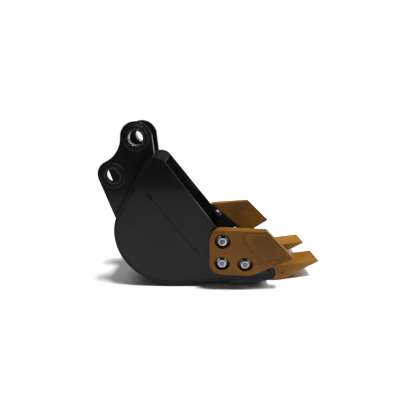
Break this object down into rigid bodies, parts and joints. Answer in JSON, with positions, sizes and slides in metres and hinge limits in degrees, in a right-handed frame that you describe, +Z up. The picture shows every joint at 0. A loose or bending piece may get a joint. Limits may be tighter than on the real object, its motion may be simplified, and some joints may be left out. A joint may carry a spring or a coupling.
{
  "type": "narrow trenching bucket with bolt-on side cutters",
  "caption": "Narrow trenching bucket for a mini excavator: black welded shell, twin pin-on ears, ochre bolt-on side cutters and replaceable teeth.",
  "frame": {"origin": "centre of the stick pin bore, midway between the two ears", "axes": "+X forward to the teeth, +Y to the bucket's left along the pin bores, +Z up with the bucket standing on its heel and teeth"},
  "size_m": [0.6558, 0.3222, 0.525],
  "materials": {
    "paint_black": "satin",
    "paint_ochre": "satin",
    "paint_blue_black": "satin",
    "zinc_steel": "satin",
    "bare_steel": "satin",
    "lock_rubber": "matte"
  },
  "bodies": {
    "root": {"wrapper": "paint_black", "side_plate_left": "paint_black", "side_plate_right": "paint_black", "belly_wear_plate": "paint_black", "cutting_edge": "paint_black", "ear_left": "paint_black", "ear_right": "paint_black", "stick_boss_left": "paint_black", "stick_boss_right": "paint_black", "link_boss_left": "paint_black", "link_boss_right": "paint_black", "stick_bush_left": "bare_steel", "stick_bush_right": "bare_steel", "link_bush_left": "bare_steel", "link_bush_right": "bare_steel", "side_cutter_left": "paint_ochre", "side_cutter_right": "paint_ochre", "cutter_bolts_left": "zinc_steel", "cutter_bolts_right": "zinc_steel", "cutter_washers_left": "zinc_steel", "cutter_washers_right": "zinc_steel", "cutter_nuts_left": "zinc_steel", "cutter_nuts_right": "zinc_steel", "tooth_adapter_left": "paint_blue_black", "tooth_adapter_right": "paint_blue_black", "tooth_left": "paint_ochre", "tooth_right": "paint_ochre", "tooth_pin_left": "bare_steel", "tooth_pin_right": "bare_steel", "tooth_lock_left": "lock_rubber", "tooth_lock_right": "lock_rubber"}
  },
  "joints": []
}
